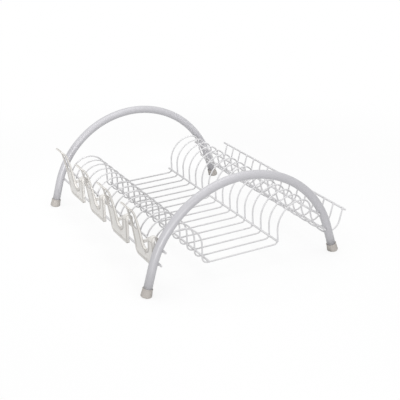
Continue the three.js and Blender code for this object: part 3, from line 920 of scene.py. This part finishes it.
def new_material(name):
    material = bpy.data.materials.new(name)
    material.use_nodes = True
    nodes = material.node_tree.nodes
    return material, nodes, material.node_tree.links, nodes["Principled BSDF"]


def math_value(tree, operation, *values):
    """The result of a Math node over outputs and plain numbers."""
    made = tree.nodes.new("ShaderNodeMath")
    made.operation = operation
    for socket, value in zip(made.inputs, values):
        if isinstance(value, bpy.types.NodeSocket):
            tree.links.new(value, socket)
        else:
            socket.default_value = value
    return made.outputs["Value"]


def mixed_tone(tree, share, first, second):
    """A mix of a tone, an output or plain numbers, into a second one of plain numbers."""
    mix = tree.nodes.new("ShaderNodeMix")
    mix.data_type = "RGBA"
    tree.links.new(share, mix.inputs["Factor"])
    if isinstance(first, bpy.types.NodeSocket):
        tree.links.new(first, mix.inputs["A"])
    else:
        mix.inputs["A"].default_value = (*first, 1)
    mix.inputs["B"].default_value = (*second, 1)
    return mix.outputs["Result"]


def marked(tree, attribute):
    """The mark that a mesh carries under a name."""
    mark = tree.nodes.new("ShaderNodeAttribute")
    mark.attribute_name = attribute
    return mark.outputs["Fac"]


def noise_value(tree, place, scale, detail):
    noise = tree.nodes.new("ShaderNodeTexNoise")
    noise.inputs["Scale"].default_value = scale
    noise.inputs["Detail"].default_value = detail
    tree.links.new(place.outputs["Object"], noise.inputs["Vector"])
    return noise.outputs["Fac"]


def coating(name, light, dark, roughness, tone_scale, grain_scale, grain_height):
    """A coated surface: a slow drift of tone, a fine orange peel and an uneven gloss."""
    material, nodes, links, shader = new_material(name)
    tree = material.node_tree
    place = nodes.new("ShaderNodeTexCoord")
    drift = noise_value(tree, place, tone_scale, TONE_DETAIL)
    tone = nodes.new("ShaderNodeValToRGB")
    for element, position, colour in zip(tone.color_ramp.elements, TONE_SPAN, (dark, light)):
        element.position = position
        element.color = (*colour, 1)
    links.new(drift, tone.inputs["Fac"])
    links.new(tone.outputs["Color"], shader.inputs["Base Color"])
    gloss = nodes.new("ShaderNodeMapRange")
    gloss.inputs["To Min"].default_value = roughness * ROUGHNESS_SHARES[0]
    gloss.inputs["To Max"].default_value = roughness * ROUGHNESS_SHARES[1]
    links.new(drift, gloss.inputs["Value"])
    links.new(gloss.outputs["Result"], shader.inputs["Roughness"])
    peel = nodes.new("ShaderNodeBump")
    peel.inputs["Strength"].default_value = 1
    peel.inputs["Distance"].default_value = grain_height
    links.new(noise_value(tree, place, grain_scale, GRAIN_DETAIL), peel.inputs["Height"])
    links.new(peel.outputs["Normal"], shader.inputs["Normal"])
    return material, tone.outputs["Color"]


def add_painted_edge_shade(material, tone, edge, where=None):
    """Paints shade on a surface's edges and in its inner corners."""
    tree = material.node_tree
    surface = tree.nodes.new("ShaderNodeNewGeometry")
    bend = math_value(tree, "SUBTRACT", surface.outputs["Pointiness"], FLAT_POINTINESS)
    size = math_value(tree, "ABSOLUTE", bend)
    sharp = tree.nodes.new("ShaderNodeMapRange")
    sharp.inputs["From Min"].default_value = EDGE_START
    sharp.inputs["From Max"].default_value = EDGE_FULL
    tree.links.new(size, sharp.inputs["Value"])
    share = sharp.outputs["Result"]
    if where:
        share = math_value(tree, "MULTIPLY", share, marked(tree, where))
    shaded = mixed_tone(tree, share, tone, edge)
    tree.links.new(shaded, tree.nodes["Principled BSDF"].inputs["Base Color"])


# Finishes of the pieces

def tube_finish():
    """Powder coat with a clear, smooth skin."""
    material, _ = coating("tube_coat", **TUBE_COAT)
    shader = material.node_tree.nodes["Principled BSDF"]
    shader.inputs["Coat Weight"].default_value = TUBE_GLOSS
    shader.inputs["Coat Roughness"].default_value = TUBE_GLOSS_ROUGHNESS
    return material


def wire_finish():
    """Dip coat, duller than the tubes."""
    material, _ = coating("wire_coat", **WIRE_COAT)
    shader = material.node_tree.nodes["Principled BSDF"]
    shader.inputs["Specular IOR Level"].default_value = WIRE_SPECULAR
    return material


def holder_finish():
    """Moulded plastic, with painted light in its thin panel and painted shade on its edges and in
    its inner corners.
    """
    material, tone = coating("holder_plastic", **HOLDER_PLASTIC)
    tree = material.node_tree
    # Painted light on the thin panel
    tone = mixed_tone(tree, marked(tree, PANEL_PAINTED_LIGHT), tone, HOLDER_PANEL_PAINTED_LIGHT)
    # Painted shade on the edges and inner corners, kept off the clips
    add_painted_edge_shade(material, tone, HOLDER_EDGE_PAINTED_SHADE, EDGE_SHADE_ZONE)
    return material


def cap_finish():
    """Moulded plastic, with painted shade on its edges and in its inner corners."""
    material, tone = coating("cap_plastic", **CAP_PLASTIC)
    # Painted shade on the edges and inner corners
    add_painted_edge_shade(material, tone, CAP_EDGE_PAINTED_SHADE)
    return material


# Floor, lamps and camera

def seen_directly(tree):
    """A value that is 1 for what the camera sees, also in a reflection or through glass."""
    path = tree.nodes.new("ShaderNodeLightPath")
    reflected = math_value(
        tree, "MAXIMUM", path.outputs["Is Camera Ray"], path.outputs["Is Glossy Ray"],
    )
    return math_value(tree, "MAXIMUM", reflected, path.outputs["Is Transmission Ray"])


def floor_finish():
    """White to the camera, with the object's shadow in it, and greyer for the light it throws up."""
    material, nodes, links, shader = new_material("floor_white")
    material.cycles.emission_sampling = "NONE"
    tree = material.node_tree
    shader.inputs["Roughness"].default_value = 1
    shader.inputs["Specular IOR Level"].default_value = 0
    seen = seen_directly(tree)
    links.new(mixed_tone(tree, seen, FLOOR_BOUNCE, WHITE), shader.inputs["Base Color"])
    glow = nodes.new("ShaderNodeEmission")
    glow.inputs["Strength"].default_value = 1
    place = nodes.new("ShaderNodeTexCoord")
    distance = nodes.new("ShaderNodeVectorMath")
    distance.operation = "LENGTH"
    links.new(place.outputs["Object"], distance.inputs[0])
    fade = nodes.new("ShaderNodeMapRange")
    fade.interpolation_type = "SMOOTHSTEP"
    fade.inputs["From Min"].default_value = SHADOW_FULL_REACH
    fade.inputs["From Max"].default_value = SHADOW_END_REACH
    fade.inputs["To Min"].default_value = 1 - SHADOW_DEPTH
    links.new(distance.outputs["Value"], fade.inputs["Value"])
    mix = nodes.new("ShaderNodeMixShader")
    links.new(math_value(tree, "MULTIPLY", seen, fade.outputs["Result"]), mix.inputs["Fac"])
    links.new(shader.outputs["BSDF"], mix.inputs[1])
    links.new(glow.outputs["Emission"], mix.inputs[2])
    links.new(mix.outputs["Shader"], nodes["Material Output"].inputs["Surface"])
    return material


def add_floor():
    floor = mesh_object("floor", [
        (-FLOOR_REACH, -FLOOR_REACH, 0), (FLOOR_REACH, -FLOOR_REACH, 0),
        (FLOOR_REACH, FLOOR_REACH, 0), (-FLOOR_REACH, FLOOR_REACH, 0),
    ], [(0, 1, 2, 3)])
    floor.data.materials.append(floor_finish())


def add_world():
    """A soft sky that the camera sees as white."""
    world = bpy.data.worlds.new("studio")
    bpy.context.scene.world = world
    world.use_nodes = True
    nodes, links = world.node_tree.nodes, world.node_tree.links
    soft = nodes["Background"]
    soft.inputs["Color"].default_value = (*WHITE, 1)
    soft.inputs["Strength"].default_value = SKY_LEVEL
    white = nodes.new("ShaderNodeBackground")
    white.inputs["Color"].default_value = (*WHITE, 1)
    white.inputs["Strength"].default_value = 1
    mix = nodes.new("ShaderNodeMixShader")
    links.new(seen_directly(world.node_tree), mix.inputs["Fac"])
    links.new(soft.outputs["Background"], mix.inputs[1])
    links.new(white.outputs["Background"], mix.inputs[2])
    links.new(mix.outputs["Shader"], nodes["World Output"].inputs["Surface"])


def hang(lamp, place, turn):
    """Puts a lamp in its place, turned as given."""
    hung = bpy.data.objects.new(lamp.name, lamp)
    bpy.context.scene.collection.objects.link(hung)
    hung.location = place
    hung.rotation_euler = turn.to_euler()
    return hung


def add_softbox(name, place, target, size, power):
    """A soft lamp of the given width and height, itself out of the camera's sight."""
    lamp = bpy.data.lights.new(name, "AREA")
    lamp.shape = "RECTANGLE"
    lamp.size, lamp.size_y = size
    lamp.energy = power
    hung = hang(lamp, place, (Vector(target) - Vector(place)).to_track_quat("-Z", "Y"))
    hung.visible_camera = False


def add_spot(name, place, target, level):
    """A narrow soft spot that adds the given level to a surface facing it at its target."""
    aim = Vector(target) - Vector(place)
    lamp = bpy.data.lights.new(name, "SPOT")
    lamp.energy = level * (2 * math.pi * aim.length) ** 2
    lamp.spot_size = SPOT_SPREAD
    lamp.spot_blend = 1
    lamp.shadow_soft_size = SPOT_SOFTNESS
    hung = hang(lamp, place, aim.to_track_quat("-Z", "Y"))
    hung.visible_camera = False


def add_sun(name, towards, level, spread):
    """A soft sun that adds the given level to a surface facing it."""
    lamp = bpy.data.lights.new(name, "SUN")
    lamp.energy = level * math.pi
    lamp.angle = spread
    hang(lamp, Vector(), Vector(towards).to_track_quat("Z", "Y"))


def add_lamps():
    add_softbox("key", KEY_PLACE, KEY_TARGET, KEY_SIZE, KEY_POWER)
    add_softbox("strip", STRIP_PLACE, STRIP_TARGET, STRIP_SIZE, STRIP_POWER)
    add_spot("far_left", FAR_LEFT_SPOT, FAR_LEFT_TARGET, FAR_LEFT_LEVEL)
    add_spot("far_right", FAR_RIGHT_SPOT, FAR_RIGHT_TARGET, FAR_RIGHT_LEVEL)
    add_sun("fill", FILL_DIRECTION, FILL_LEVEL, FILL_SPREAD)


def add_camera():
    data = bpy.data.cameras.new("photo_camera")
    data.sensor_width = SENSOR_WIDTH
    data.lens = FOCAL_PIXELS * SENSOR_WIDTH / IMAGE_SIZE
    camera = bpy.data.objects.new("photo_camera", data)
    bpy.context.scene.collection.objects.link(camera)
    ahead = Vector((
        math.sin(CAMERA_YAW) * math.cos(CAMERA_PITCH),
        math.cos(CAMERA_YAW) * math.cos(CAMERA_PITCH),
        -math.sin(CAMERA_PITCH),
    ))
    level = Vector((math.cos(CAMERA_YAW), -math.sin(CAMERA_YAW), 0))
    upright = level.cross(ahead)
    right = math.cos(CAMERA_ROLL) * level + math.sin(CAMERA_ROLL) * upright
    up = -math.sin(CAMERA_ROLL) * level + math.cos(CAMERA_ROLL) * upright
    turned = Matrix((right, up, -ahead)).transposed()
    place = CAMERA_FROM_ARCH + ARCH_MIDDLE_X * ALONG_X
    camera.matrix_world = Matrix.Translation(place) @ turned.to_4x4()
    bpy.context.scene.camera = camera


def build():
    add_camera()
    knots = profile_knots()
    wire_coat = wire_finish()
    add_arches(tube_finish())
    add_caps(cap_finish())
    add_wires(wire_coat, knots)
    add_rails(wire_coat)
    add_weld_beads(wire_coat, knots)
    add_holders(holder_finish())
    add_floor()
    add_world()
    add_lamps()
    bpy.context.scene.view_settings.view_transform = "Standard"


build()
